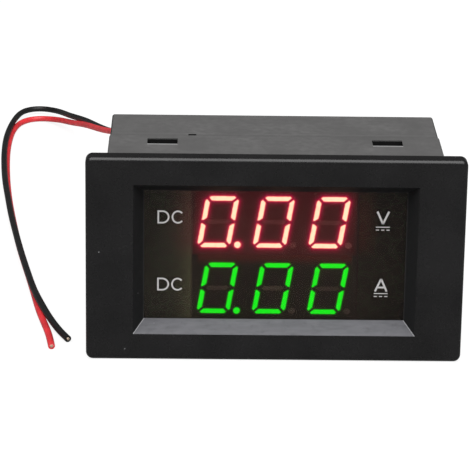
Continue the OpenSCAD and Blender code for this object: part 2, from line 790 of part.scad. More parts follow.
module terminal_block() color([0.1, 0.45, 0.2]) {
    difference() {
        box(terminal_w, terminal_h, board2_back_y, terminal_back_y, x = terminal_x, z = terminal_z);
        for (i = [0 : poles - 1]) {
            facing_back(pole_x(i), terminal_back_y - head_hole_depth, terminal_z + terminal_screw_z)
                cylinder(h = head_hole_depth + 1, r = head_hole_r);
            facing_back(pole_x(i), terminal_back_y - entry_depth, terminal_z + terminal_screw_z)
                cylinder(h = entry_depth, r = thread_r + running_fit);
            box(entry_side, entry_side, terminal_back_y - entry_depth, terminal_back_y + 1,
                x = pole_x(i), z = terminal_z + terminal_entry_z);
            box(tail_side + 2 * fit, tail_side + 2 * fit, board2_back_y - 1, terminal_back_y - 1,
                x = pole_x(i), z = terminal_z + terminal_entry_z);
        }
        for (i = [0 : poles - 2])
            box(pole_groove, terminal_h + 2, terminal_back_y - pole_groove, terminal_back_y + 1,
                x = pole_x(i) + pole_pitch / 2, z = terminal_z);
    }
}

// The cage that grips a wire, with its tail down through the board
module terminal_clamps() color([0.75, 0.74, 0.7]) {
    cage = entry_side - 2 * running_fit;
    cage_y = terminal_back_y - clamp_depth - clamp_l;
    for (i = [0 : poles - 1]) {
        difference() {
            box(cage, cage, cage_y, cage_y + clamp_l, x = pole_x(i), z = terminal_z + terminal_entry_z);
            box(cage - 2 * clamp_wall, cage - 2 * clamp_wall, cage_y + clamp_wall,
                cage_y + clamp_l + 1, x = pole_x(i), z = terminal_z + terminal_entry_z);
        }
        box(tail_side, tail_side, board2_y - tail_proud, cage_y + eps,
            x = pole_x(i), z = terminal_z + terminal_entry_z);
    }
}

module terminal_screws() color([0.7, 0.7, 0.72]) {
    seat_y = terminal_back_y - head_hole_depth;
    for (i = [0 : poles - 1]) difference() {
        union() {
            facing_back(pole_x(i), seat_y, terminal_z + terminal_screw_z)
                cylinder(h = terminal_head_h, r = driver_r);
            facing_back(pole_x(i), seat_y - terminal_thread_l, terminal_z + terminal_screw_z)
                cylinder(h = terminal_thread_l + eps, r = thread_r);
        }
        box(2 * driver_r + 1, terminal_slot_w, seat_y + terminal_head_h / 2, seat_y + 3,
            x = pole_x(i), z = terminal_z + terminal_screw_z);
    }
}

// ---------------------------------------------------------------- trimmers

rotor_y = board2_back_y + trim_h - rotor_h - rotor_recess;

module trimmer_body(x) {
    difference() {
        box(trim_side, trim_side, board2_back_y, board2_back_y + trim_h, x = x, z = trim_z);
        facing_back(x, rotor_y - running_fit, trim_z) cylinder(h = rotor_h + 2, r = rotor_r + running_fit);
    }
}

module trim_rotor(x) {
    difference() {
        facing_back(x, rotor_y, trim_z) cylinder(h = rotor_h, r = rotor_r);
        box(2 * rotor_r + 1, slot_w, rotor_y + rotor_h - slot_depth, rotor_y + rotor_h + 1,
            x = x, z = trim_z);
    }
}

module voltage_trimmer() color([0.12, 0.3, 0.66]) trimmer_body(voltage_trim_x);
module current_trimmer() color([0.12, 0.3, 0.66]) trimmer_body(current_trim_x);
module voltage_trim_rotor() color([0.8, 0.66, 0.36]) trim_rotor(voltage_trim_x);
module current_trim_rotor() color([0.8, 0.66, 0.36]) trim_rotor(current_trim_x);

// ---------------------------------------------------------------- leads

module lead_header() color([0.93, 0.92, 0.88]) {
    difference() {
        box(shroud_w, shroud_h, board2_back_y, board2_back_y + shroud_l, x = plug_x, z = plug_z);
        box(shroud_w - 2 * shroud_wall, shroud_h - 2 * shroud_wall, plug_y, plug_back_y,
            x = plug_x, z = plug_z);
        for (s = [-1, 1])
            box(square_pin, square_pin, board2_back_y - 1, plug_y + 1,
                x = plug_x + s * plug_pitch / 2, z = plug_z);
    }
}

module lead_header_pins() color([0.8, 0.8, 0.78])
    for (s = [-1, 1])
        box(square_pin, square_pin, board2_y - lead_pin_proud, plug_y + lead_pin_reach,
            x = plug_x + s * plug_pitch / 2, z = plug_z);

module lead_plug() color([0.93, 0.92, 0.88]) {
    inner = shroud_wall + fit;
    difference() {
        union() {
            box(shroud_w - 2 * inner, shroud_h - 2 * inner, plug_y, plug_back_y,
                x = plug_x, z = plug_z);
            box(shroud_w, shroud_h - 2 * fit, plug_back_y - plug_rim, plug_back_y,
                x = plug_x, z = plug_z);
        }
        for (s = [-1, 1])
            box(contact_side + fit, contact_side + fit, plug_y - 1, plug_back_y + 1,
                x = plug_x + s * plug_pitch / 2, z = plug_z);
    }
}

module lead_contacts() color([0.8, 0.7, 0.4]) {
    for (s = [-1, 1]) difference() {
        box(contact_side, contact_side, plug_y, lead_start_y,
            x = plug_x + s * plug_pitch / 2, z = plug_z);
        box(square_pin + 2 * contact_fit, square_pin + 2 * contact_fit, plug_y - 1, plug_y + contact_bore_l,
            x = plug_x + s * plug_pitch / 2, z = plug_z);
    }
}

// A point on the smooth curve that follows a route: u counts the route's points
function route_at(route, u) =
    let (n = len(route) - 1, k = min(floor(u), n - 1), s = u - k,
         p1 = route[k], p2 = route[k + 1],
         p0 = k == 0 ? 2 * p1 - p2 : route[k - 1],
         p3 = k == n - 1 ? 2 * p2 - p1 : route[k + 2])
    ((1 - s) ^ 3 * p0 + (3 * s ^ 3 - 6 * s ^ 2 + 4) * p1
     + (-3 * s ^ 3 + 3 * s ^ 2 + 3 * s + 1) * p2 + s ^ 3 * p3) / 6;

function unit(v) = v / norm(v);

function ring(centre, along, r, sides) =
    let (side = unit(cross(along, [0, 0, 1])), up = cross(side, along))
    [for (j = [0 : sides - 1])
        let (a = (j + 0.5) * 360 / sides) centre + r * (cos(a) * side + sin(a) * up)];

// A round tube swept along a route
module tube(route, r, rings, sides) {
    last = len(route) - 1;
    step = last / (rings - 1);
    centres = [for (i = [0 : rings - 1]) route_at(route, i * step)];
    points = [for (i = [0 : rings - 1])
        let (along = unit(centres[min(i + 1, rings - 1)] - centres[max(i - 1, 0)]))
        each ring(centres[i], along, r, sides)];
    walls = [for (i = [0 : rings - 2], j = [0 : sides - 1])
        let (a = i * sides + j, b = i * sides + (j + 1) % sides) [a, b, b + sides, a + sides]];
    polyhedron(points, concat([[for (j = [sides - 1 : -1 : 0]) j]], walls,
                              [[for (j = [0 : sides - 1]) (rings - 1) * sides + j]]));
}

module red_lead() color([0.8, 0.12, 0.14]) tube(red_route, lead_d / 2, lead_rings, lead_sides);
module black_lead() color([0.08, 0.08, 0.09]) tube(black_route, lead_d / 2, lead_rings, lead_sides);

// ---------------------------------------------------------------- nodes

front_housing();
rear_cover();
window_filter();
voltage_display_case();
current_display_case();
voltage_lit_segments();
voltage_unlit_segments();
current_lit_segments();
current_unlit_segments();
voltage_display_pins();
current_display_pins();
display_board();
board_screws();
board_sockets();
board_headers();
board_header_pins();
main_board();
microcontroller();
digit_transistors();
operational_amplifier();
voltage_regulator();
polarity_diode();
electrolytic_capacitor();
chip_resistors();
chip_capacitors();
current_shunt();
terminal_block();
terminal_clamps();
terminal_screws();
voltage_trimmer();
voltage_trim_rotor();
current_trimmer();
current_trim_rotor();
lead_header();
lead_header_pins();
lead_plug();
lead_contacts();
red_lead();
black_lead();
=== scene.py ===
# Digital panel meter: the leads, the lit digits, the window print and all materials, built
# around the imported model. Lengths are in metres, in the model's own frame.
import json
import math

import bpy
import numpy as np
from mathutils import Matrix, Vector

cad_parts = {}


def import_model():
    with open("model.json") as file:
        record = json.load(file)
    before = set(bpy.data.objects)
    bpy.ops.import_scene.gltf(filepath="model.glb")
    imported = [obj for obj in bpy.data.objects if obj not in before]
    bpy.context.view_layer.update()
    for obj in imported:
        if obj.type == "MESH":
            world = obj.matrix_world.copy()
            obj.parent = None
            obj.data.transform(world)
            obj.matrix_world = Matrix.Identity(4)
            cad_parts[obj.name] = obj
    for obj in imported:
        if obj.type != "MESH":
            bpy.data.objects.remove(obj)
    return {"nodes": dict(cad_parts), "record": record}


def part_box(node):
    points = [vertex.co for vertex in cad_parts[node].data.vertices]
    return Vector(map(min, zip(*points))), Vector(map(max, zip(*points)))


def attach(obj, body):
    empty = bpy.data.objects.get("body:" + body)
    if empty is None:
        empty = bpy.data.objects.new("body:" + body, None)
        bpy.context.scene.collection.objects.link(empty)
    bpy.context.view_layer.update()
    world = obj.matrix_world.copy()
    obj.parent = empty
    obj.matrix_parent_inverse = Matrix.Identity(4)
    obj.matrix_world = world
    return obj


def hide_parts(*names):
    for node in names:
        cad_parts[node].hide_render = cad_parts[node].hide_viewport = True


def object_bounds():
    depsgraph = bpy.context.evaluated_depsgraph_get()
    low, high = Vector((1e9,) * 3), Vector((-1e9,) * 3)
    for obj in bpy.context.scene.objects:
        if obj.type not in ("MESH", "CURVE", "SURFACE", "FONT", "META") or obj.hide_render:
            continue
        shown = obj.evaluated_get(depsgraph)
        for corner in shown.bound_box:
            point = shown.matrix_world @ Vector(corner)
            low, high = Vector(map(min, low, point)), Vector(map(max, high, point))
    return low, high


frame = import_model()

MM = 0.001
BODY = "meter"
cad_low, cad_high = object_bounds()
nodes = frame["nodes"]


# ---------------------------------------------------------------- camera

# Focal length and sensor width in millimetres
LENS, SENSOR = 206.81, 36.0
CLIP_START, CLIP_END = 0.01, 50.0
CAMERA_AT = (-0.01706, -0.53341, 0.18611)
PITCH, YAW, ROLL = (math.radians(angle) for angle in (18.79, -0.93, 0.84))

camera_data = bpy.data.cameras.new("camera")
camera_data.lens = LENS
camera_data.sensor_width = SENSOR
camera_data.clip_start = CLIP_START
camera_data.clip_end = CLIP_END
camera = bpy.data.objects.new("camera", camera_data)
bpy.context.scene.collection.objects.link(camera)
camera.matrix_world = (
    Matrix.Translation(CAMERA_AT)
    @ Matrix.Rotation(YAW, 4, "Z")
    @ Matrix.Rotation(math.pi / 2 - PITCH, 4, "X")
    @ Matrix.Rotation(ROLL, 4, "Z")
)
bpy.context.scene.camera = camera


# ---------------------------------------------------------------- node and mesh helpers

WHITE = (1.0, 1.0, 1.0)
BLACK = (0.0, 0.0, 0.0)


def shade(colour, factor):
    return tuple(part * factor for part in colour)


class Shader:
    """The node tree of one material, or of the world, and the wiring of its nodes."""

    def __init__(self, name, owners=bpy.data.materials):
        self.owner = owners.new(name)
        self.owner.use_nodes = True
        self.tree = self.owner.node_tree
        self.tree.nodes.clear()

    def put(self, socket, value):
        """Links an output to the socket, or sets its value: three numbers do for a colour."""
        if isinstance(value, bpy.types.NodeSocket):
            self.tree.links.new(value, socket)
        elif socket.type == "RGBA":
            socket.default_value = (*value, 1.0)
        else:
            socket.default_value = value

    def node(self, kind, inputs=None, **settings):
        """Adds a node, sets it up and fills its inputs."""
        node = self.tree.nodes.new(kind)
        for key, value in settings.items():
            setattr(node, key, value)
        for key, value in (inputs or {}).items():
            self.put(node.inputs[key], value)
        return node

    def add(self, kind, inputs=None, out=0, **settings):
        """Adds a node and returns one of its outputs."""
        return self.node(kind, inputs, **settings).outputs[out]

    def done(self, surface, kind="Material"):
        self.node("ShaderNodeOutput" + kind, {"Surface": surface})
        return self.owner

    # Places and patterns

    def place(self):
        return self.add("ShaderNodeTexCoord", out="Object")

    def mapped(self, **inputs):
        """The place, turned or stretched."""
        return self.add("ShaderNodeMapping", {"Vector": self.place(), **inputs})

    def axis(self, name):
        return self.add("ShaderNodeSeparateXYZ", {0: self.place()}, out=name)

    def attribute(self, name):
        return self.add("ShaderNodeAttribute", attribute_name=name, out="Fac")

    def noise(self, size, detail=3.0, rough=0.5, where=None):
        """Noise whose features are about size metres across."""
        return self.add("ShaderNodeTexNoise", {
            "Vector": where or self.place(), "Scale": 1.0 / size,
            "Detail": detail, "Roughness": rough})

    # Numbers and masks

    def math(self, operation, a, b=0.0):
        return self.add("ShaderNodeMath", {0: a, 1: b}, operation=operation)

    def span(self, value, low, high, to_low=0.0, to_high=1.0):
        """Maps low..high to to_low..to_high, with the ends held."""
        return self.add("ShaderNodeMapRange", {
            "Value": value, "From Min": low, "From Max": high,
            "To Min": to_low, "To Max": to_high})

    def vary(self, noise, to_low=0.0, to_high=1.0, half=0.2):
        """Maps a noise's usual range, 0.5 - half to 0.5 + half, to to_low..to_high."""
        return self.span(noise, 0.5 - half, 0.5 + half, to_low, to_high)

    def above(self, value, limit):
        return self.math("GREATER_THAN", value, limit)

    def below(self, value, limit):
        return self.math("LESS_THAN", value, limit)

    def away(self, value, middle):
        return self.math("ABSOLUTE", self.math("SUBTRACT", value, middle))

    def near(self, value, middle, half):
        """1 nearer to the middle than half, and 0 elsewhere."""
        return self.below(self.away(value, middle), half)

    def stripe(self, value, middle, half):
        """A soft line: 1 at the middle, 0 at half its width away and beyond."""
        return self.span(self.away(value, middle), 0.0, half, 1.0, 0.0)

    def all_of(self, first, *rest):
        """The product of masks: 1 where every mask is 1."""
        for mask in rest:
            first = self.math("MULTIPLY", first, mask)
        return first

    # Colours and surfaces

    def blend(self, factor, a, b, mode="MIX"):
        return self.add("ShaderNodeMix", {0: factor, 6: a, 7: b}, out=2,
                        data_type="RGBA", blend_type=mode)

    def bump(self, height, strength, distance):
        return self.add("ShaderNodeBump", {
            "Height": height, "Strength": strength, "Distance": distance})

    def principled(self, **inputs):
        """A Principled surface. Its inputs are named as its sockets, with _ for a space."""
        return self.add("ShaderNodeBsdfPrincipled", {
            key.replace("_", " "): value for key, value in inputs.items()})

    def diffuse(self, colour):
        return self.add("ShaderNodeBsdfDiffuse", {"Color": colour})

    def transparent(self, colour=WHITE):
        return self.add("ShaderNodeBsdfTransparent", {"Color": colour})

    def emission(self, colour=WHITE, strength=1.0):
        return self.add("ShaderNodeEmission", {"Color": colour, "Strength": strength})

    def mix(self, factor, a, b):
        """Surface a where the factor is 0, and b where it is 1."""
        return self.add("ShaderNodeMixShader", {0: factor, 1: a, 2: b})

    def for_ray(self, ray, otherwise, chosen):
        """One surface for a kind of ray, and the other for all other rays."""
        return self.mix(self.add("ShaderNodeLightPath", out=ray), otherwise, chosen)


def mesh_piece(name, points, faces, material, values=None, smooth=False):
    """A mesh that rides on the meter. values maps an attribute's name to one number a point."""
    mesh = bpy.data.meshes.new(name)
    mesh.from_pydata([tuple(point) for point in points], [], [tuple(face) for face in faces])
    for key, numbers in (values or {}).items():
        layer = mesh.attributes.new(key, "FLOAT", "POINT")
        layer.data.foreach_set("value", np.asarray(numbers, np.float32))
    mesh.polygons.foreach_set("use_smooth", [smooth] * len(mesh.polygons))
    mesh.materials.append(material)
    mesh.update()
    piece = bpy.data.objects.new(name, mesh)
    bpy.context.scene.collection.objects.link(piece)
    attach(piece, BODY)
    return piece


# ---------------------------------------------------------------- plain materials

MASK_GREEN, MASK_GREEN_PALE = (0.010, 0.075, 0.026), (0.016, 0.10, 0.036)
TRACK_GREEN = (0.035, 0.19, 0.06)
TRACK_PITCH = 2.4 * MM
TRACK_EDGE, TRACK_END = 0.04, 0.09


def moulded(name, colour, rough=0.45, grain=0.4 * MM, mottle=0.25):
    """Moulded plastic: fine grain in the surface, slow changes of shade and of gloss."""
    s = Shader(name)
    slow = s.noise(9 * MM, detail=4.0)
    fine = s.noise(grain, detail=5.0, rough=0.62)
    return s.done(s.principled(
        Base_Color=s.blend(s.vary(slow, half=0.15), shade(colour, 1 - mottle), shade(colour, 1 + mottle)),
        Roughness=s.vary(s.noise(3 * MM), rough - 0.05, rough + 0.07),
        Normal=s.bump(fine, strength=0.5, distance=0.012 * MM)))


def metal(name, colour, rough=0.3, stretch=(1.0, 1.0, 1.0)):
    """Plated or drawn metal, dulled by its oxide, with streaks along the stretched direction."""
    s = Shader(name)
    streaks = s.noise(0.25 * MM, detail=6.0, where=s.mapped(Scale=stretch))
    return s.done(s.principled(
        Base_Color=s.blend(s.vary(s.noise(2 * MM)), shade(colour, 0.82), colour),
        Metallic=0.7,
        Roughness=s.vary(streaks, rough - 0.08, rough + 0.12),
        Normal=s.bump(streaks, strength=0.3, distance=0.01 * MM)))


def board(name):
    """Solder mask over copper tracks: tracks are lighter and stand up a little."""
    s = Shader(name)
    cells = s.add("ShaderNodeTexVoronoi", {
        "Vector": s.mapped(Rotation=(0.0, math.pi / 4, 0.0)), "Scale": 1 / TRACK_PITCH},
        feature="DISTANCE_TO_EDGE", distance="EUCLIDEAN")
    track = s.span(cells, TRACK_EDGE, TRACK_END, 1.0, 0.0)
    mask = s.blend(s.vary(s.noise(6 * MM)), MASK_GREEN, MASK_GREEN_PALE)
    return s.done(s.principled(
        Base_Color=s.blend(track, mask, TRACK_GREEN),
        Roughness=0.32,
        Normal=s.bump(track, strength=0.4, distance=0.03 * MM)))


def lit_resin(name, colour, strength):
    """Resin lit from behind, a little uneven along its length."""
    s = Shader(name)
    even = s.vary(s.noise(2.5 * MM), 0.85, 1.1)
    return s.done(s.principled(
        Base_Color=shade(colour, 0.5),
        Roughness=0.35,
        Emission_Color=colour,
        Emission_Strength=s.math("MULTIPLY", even, strength)))


def ink(name, colour):
    """Printed ink, thin in places."""
    s = Shader(name)
    wear = s.span(s.noise(0.35 * MM, detail=5.0), 0.35, 0.6, 0.8, 1.0)
    return s.done(s.principled(Base_Color=s.blend(wear, shade(colour, 0.55), colour), Roughness=0.6))


def sheath(name, colour, soft, shine=0.5):
    """Soft lead sheath: faint extrusion waviness, handling marks and a slight sheen."""
    s = Shader(name)
    marks = s.noise(4 * MM, detail=4.0)
    fine = s.noise(0.5 * MM, detail=3.0)
    return s.done(s.principled(
        Base_Color=s.blend(s.vary(marks, half=0.15), shade(colour, 0.8), shade(colour, 1.1)),
        Roughness=s.vary(fine, 0.34, 0.48),
        Specular_IOR_Level=shine,
        Subsurface_Weight=soft,
        Subsurface_Radius=(1 * MM, 0.4 * MM, 0.4 * MM),
        Normal=s.bump(fine, strength=0.3, distance=0.02 * MM)))


# ---------------------------------------------------------------- housing material

BEZEL_BLACK = (0.0070, 0.0068, 0.0070)
# Painted shade: the recess's walls are painted darker than the bezel for the shade that falls in the
# recess.
RECESS_SHADE_BLACK = (0.0045, 0.0045, 0.005)
# Painted shade: near black for the notch, the latch openings and all inside the housing.
INSIDE_SHADE_BLACK = (0.003, 0.003, 0.003)
# Painted sheen: the black plastic behind the panel is painted grey for the sheen its textured surface
# shows under the overhead lamp.
SLEEVE_SHEEN_GREY = (0.0712, 0.0700, 0.0695)
# Painted highlight: the recess's upward-facing lower wall is painted pale for the light it catches from
# above.
SHELF_HIGHLIGHT_GREY = (0.082, 0.082, 0.090)
# Painted highlight: a pale line along the mitred ends of the recess's lower wall.
MITRE_HIGHLIGHT_GREY = (0.30, 0.30, 0.31)
# Painted highlight on the front lips of the latch openings.
LIP_HIGHLIGHT_GREY = (0.26, 0.26, 0.26)
DUST = (0.30, 0.30, 0.31)
MOUTH_W, MOUTH_H = 59.2 * MM, 32.8 * MM
HOUSING_W, HOUSING_H = 70.4 * MM, 41.8 * MM
WINDOW_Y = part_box("window_filter")[0].y
COVER_BACK_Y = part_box("rear_cover")[1].y
PANEL_BLUR = 0.2 * MM
FACE_SKIN = 0.02 * MM
WINDOW_RIM = 0.5 * MM
SKIN = 0.25 * MM
MITRE_HALF, MITRE_SHARE = 0.12 * MM, 0.8
SEAM_Y, SEAM_HALF, SEAM_SHARE = 17.7 * MM, 0.14 * MM, 0.55
RIDGE_Y, RIDGE_HALF, RIDGE_SHARE = 19.5 * MM, 0.35 * MM, 0.3
LATCH_X, LATCH_W = 23.8 * MM, 6.4 * MM
LIP_Y, LIP_HALF = 11.2 * MM, 0.4 * MM
NOTCH_X, NOTCH_HALF_W = -17.5 * MM, 0.85 * MM
NOTCH_Y, NOTCH_HALF_L = 17.7 * MM, 1.5 * MM
NOTCH_DEPTH = 0.03 * MM
SMUDGE_FROM, SMUDGE_FULL, SMUDGE_SHARE = 0.58, 0.74, 0.35
SPECK_PITCH, SPECK_SHARE = 5.5 * MM, 0.55
SPECK_FULL, SPECK_END = 0.018, 0.026
POLISHED, TEXTURED, WALL_EXTRA = 0.25, 0.55, 0.25


def recess_masks(s, aside, aloft, y, z):
    """Masks of the window's recess, of its lower wall, painted pale as a highlight, and of that wall's
    mitred ends, which carry a painted highlight line.
    """
    recess = s.all_of(s.below(aside, MOUTH_W / 2), s.below(aloft, MOUTH_H / 2),
                      s.above(y, cad_low.y + FACE_SKIN), s.below(y, WINDOW_Y + WINDOW_RIM))
    past_mitre = s.math("SUBTRACT", s.math("SUBTRACT", (MOUTH_W - MOUTH_H) / 2, aside), z)
    shelf = s.all_of(recess, s.above(past_mitre, 0.0))
    mitre = s.all_of(recess, s.near(past_mitre, 0.0, MITRE_HALF), s.below(z, 0.0))
    return recess, shelf, mitre


def sleeve_sheen_and_seam(s, x, y, aside, slow, coarse):
    """Dull grey behind the panel, painted for the sheen of the black plastic, with a painted highlight
    along a ridge, the seam and painted highlights on the lips of the latch openings.
    """
    grey = s.blend(s.vary(coarse), SLEEVE_SHEEN_GREY, shade(SLEEVE_SHEEN_GREY, 1.25))
    grey = s.blend(s.vary(slow), shade(SLEEVE_SHEEN_GREY, 0.9), grey)
    # Painted highlight along a faint moulded ridge.
    ridge = s.math("MULTIPLY", s.stripe(y, RIDGE_Y, RIDGE_HALF), RIDGE_SHARE)
    seam = s.math("MULTIPLY", s.stripe(y, SEAM_Y, SEAM_HALF), SEAM_SHARE)
    # Painted highlight: a pale stripe on the lips of the latch openings.
    lip = s.all_of(s.near(aside, LATCH_X, LATCH_W / 2), s.stripe(y, LIP_Y, LIP_HALF))
    grey = s.blend(ridge, grey, shade(SLEEVE_SHEEN_GREY, 1.6))
    grey = s.blend(seam, grey, BEZEL_BLACK)
    return s.blend(lip, grey, LIP_HIGHLIGHT_GREY)


def shade_inside_mask(s, x, y, aside, aloft, behind):
    """Mask of painted shade: the pry notch and all that lies inside the housing's walls, painted near
    black for the shade in them.
    """
    notch = s.all_of(s.near(x, NOTCH_X, NOTCH_HALF_W), s.near(y, NOTCH_Y, NOTCH_HALF_L),
                     s.below(aloft, HOUSING_H / 2 - NOTCH_DEPTH))
    inside = s.all_of(s.below(aside, HOUSING_W / 2 - SKIN), s.below(aloft, HOUSING_H / 2 - SKIN),
                      s.below(y, COVER_BACK_Y - SKIN), behind)
    return s.math("MAXIMUM", notch, inside)


def shelf_highlight_and_scuffs(s, coarse):
    """The recess's lower wall: painted pale as the highlight of the overhead lamp on it, scuffed along
    its length, with darker smudges.
    """
    scuffs = s.noise(0.8 * MM, detail=5.0, where=s.mapped(Scale=(0.25, 1.0, 1.0)))
    scuffed_highlight = s.blend(s.vary(scuffs), shade(SHELF_HIGHLIGHT_GREY, 0.84), shade(SHELF_HIGHLIGHT_GREY, 1.12))
    smudges = s.span(coarse, SMUDGE_FROM, SMUDGE_FULL, 0.0, SMUDGE_SHARE)
    return s.blend(smudges, scuffed_highlight, shade(SHELF_HIGHLIGHT_GREY, 0.5))


def housing_plastic(name):
    """Black plastic: polished on the bezel, spark-textured in its recess and behind the panel, its colour
    carrying painted shade, painted highlights and painted sheen.
    """
    s = Shader(name)
    x, y, z = (s.axis(letter) for letter in "XYZ")
    aside, aloft = s.math("ABSOLUTE", x), s.math("ABSOLUTE", z)
    slow = s.noise(11 * MM, detail=4.0)
    fine = s.noise(0.22 * MM, detail=4.0, rough=0.6)
    coarse = s.noise(1.6 * MM, detail=3.0)
    behind = s.span(y, -PANEL_BLUR, PANEL_BLUR)
    recess, shelf, mitre = recess_masks(s, aside, aloft, y, z)

    bezel = s.blend(s.vary(slow, half=0.15), BEZEL_BLACK, shade(BEZEL_BLACK, 1.4))
    sleeve = sleeve_sheen_and_seam(s, x, y, aside, slow, coarse)
    # Painted shade in the notch and inside the walls.
    sleeve = s.blend(shade_inside_mask(s, x, y, aside, aloft, behind), sleeve, INSIDE_SHADE_BLACK)
    # The recess is painted darker than the bezel as painted shade.
    tone = s.blend(behind, s.blend(recess, bezel, RECESS_SHADE_BLACK), sleeve)
    # Painted highlight on the recess's lower wall, with scuffs and smudges.
    tone = s.blend(shelf, tone, shelf_highlight_and_scuffs(s, coarse))
    # Painted highlight line along the mitres.
    tone = s.blend(s.math("MULTIPLY", mitre, MITRE_SHARE), tone, MITRE_HIGHLIGHT_GREY)
    cells = s.add("ShaderNodeTexVoronoi", {"Vector": s.place(), "Scale": 1 / SPECK_PITCH})
    tone = s.blend(s.span(cells, SPECK_FULL, SPECK_END, SPECK_SHARE, 0.0), tone, DUST)

    textured = s.math("MAXIMUM", behind, recess)
    walls = s.math("SUBTRACT", recess, shelf)
    rough = s.span(textured, 0.0, 1.0, POLISHED, TEXTURED)
    rough = s.math("ADD", rough, s.math("MULTIPLY", walls, WALL_EXTRA))
    rough = s.math("ADD", rough, s.vary(coarse, -0.03, 0.05))
    grain = s.math("MULTIPLY", fine, s.span(textured, 0.0, 1.0, 0.35, 1.0))
    return s.done(s.principled(
        Base_Color=tone,
        Roughness=rough,
        Specular_IOR_Level=0.33,
        Normal=s.bump(grain, strength=0.45, distance=0.02 * MM)))


# ---------------------------------------------------------------- window material

WINDOW_TINT = (0.85, 0.76, 0.74)
HAZE_MIDDLE = (0.020, 0.014, 0.010)
HAZE_LEFT = (0.024, 0.021, 0.015)
HAZE_OLIVE = (0.052, 0.046, 0.026)
HAZE_RED = (0.078, 0.033, 0.026)
HAZE_SPILL = (0.055, 0.012, 0.009)
LEFT_FULL, LEFT_END = -19 * MM, -16.5 * MM
FADE_FROM, FADE_FULL, FADE_SHARE = 19 * MM, 27 * MM, 0.5
RED_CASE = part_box("voltage_display_case")
STRAY_FROM, STRAY_CURVE, CASE_RIM = -24 * MM, 2.1, 0.6 * MM
OLIVE_BELOW, RED_ABOVE = -1 * MM, 3 * MM
UNDER_REACH, UNDER_INSET = 1.7 * MM, 1.5 * MM
UNDER_FULL, UNDER_TOP = 0.4 * MM, 0.7 * MM
RIGHT_REACH, RIGHT_RISE, RIGHT_SHARE = 4 * MM, 3 * MM, 0.5
GLOSS_HEAD_ON, GLOSS_GRAZING, GLOSS_CURVE = 0.022, 0.9, 5.0


def stray_light(s, x, z, haze):
    """Light of the digits in the haze: beside the displays, under the red one and right of it."""
    low, high = RED_CASE
    beside = s.all_of(s.span(x, STRAY_FROM, low.x), s.span(x, low.x, low.x + CASE_RIM, 1.0, 0.0))
    tone = s.blend(s.span(z, OLIVE_BELOW, RED_ABOVE), HAZE_OLIVE, HAZE_RED)
    haze = s.blend(s.math("POWER", beside, STRAY_CURVE), haze, tone)
    under = s.all_of(s.span(z, low.z - UNDER_REACH, low.z),
                     s.span(z, low.z + UNDER_FULL, low.z + UNDER_TOP, 1.0, 0.0),
                     s.near(x, 0.0, high.x - UNDER_INSET))
    right = s.all_of(s.span(x, high.x, high.x + RIGHT_REACH, RIGHT_SHARE, 0.0), s.above(x, high.x),
                     s.span(z, low.z, low.z + RIGHT_RISE))
    return s.blend(s.math("ADD", under, right), haze, HAZE_SPILL)


def smoked_window(name):
    """Tinted acrylic: tinted light passes, a clear reflection lies on it, and it has a brown haze."""
    s = Shader(name)
    x, z = s.axis("X"), s.axis("Z")
    cloud = s.span(s.noise(14 * MM), 0.35, 0.7)
    haze = s.blend(s.span(x, LEFT_FULL, LEFT_END, 1.0, 0.0), HAZE_MIDDLE, HAZE_LEFT)
    haze = s.blend(s.span(x, FADE_FROM, FADE_FULL, 0.0, FADE_SHARE), haze, BLACK)
    haze = s.blend(cloud, haze, shade(HAZE_MIDDLE, 0.6))
    haze = stray_light(s, x, z, haze)
    body = s.mix(0.5, s.transparent(WINDOW_TINT), s.diffuse(haze))
    waves = s.bump(s.noise(6 * MM), strength=0.02, distance=0.02 * MM)
    mirror = s.add("ShaderNodeBsdfGlossy", {"Color": WHITE, "Roughness": 0.06, "Normal": waves})
    facing = s.add("ShaderNodeLayerWeight", {"Blend": 0.5}, out="Facing")
    gloss = s.math("MULTIPLY", s.math("POWER", facing, GLOSS_CURVE), GLOSS_GRAZING)
    gloss = s.math("ADD", gloss, GLOSS_HEAD_ON)
    return s.done(s.mix(gloss, body, mirror))


# ---------------------------------------------------------------- light of the digits

def segment_face(name, rim, core):
    """The bright face of a lit segment: rim colour at its edge, core colour in the middle."""
    s = Shader(name)
    mottled = s.math("ADD", s.attribute("core"), s.vary(s.noise(0.7 * MM, detail=4.0), -0.34, 0.1))
    return s.done(s.emission(s.blend(s.span(mottled, 0.05, 0.8), rim, core)))


def halo(name, near_colour, far_colour, reach):
    """Light that spreads from the lit segments over a display's face. reach is in millimetres."""
    s = Shader(name)
    near = s.math("EXPONENT", s.math("MULTIPLY", s.attribute("distance"), -1.0 / reach))
    grain = s.vary(s.noise(1.1 * MM, detail=4.0), 0.75, 1.15)
    far = s.math("MULTIPLY", s.attribute("spread"), grain)
    tone = s.blend(1.0, s.blend(near, BLACK, near_colour), s.blend(far, BLACK, far_colour), "ADD")
    return s.done(s.add("ShaderNodeAddShader", {0: s.emission(tone), 1: s.transparent()}))


# ---------------------------------------------------------------- the looks of the CAD nodes

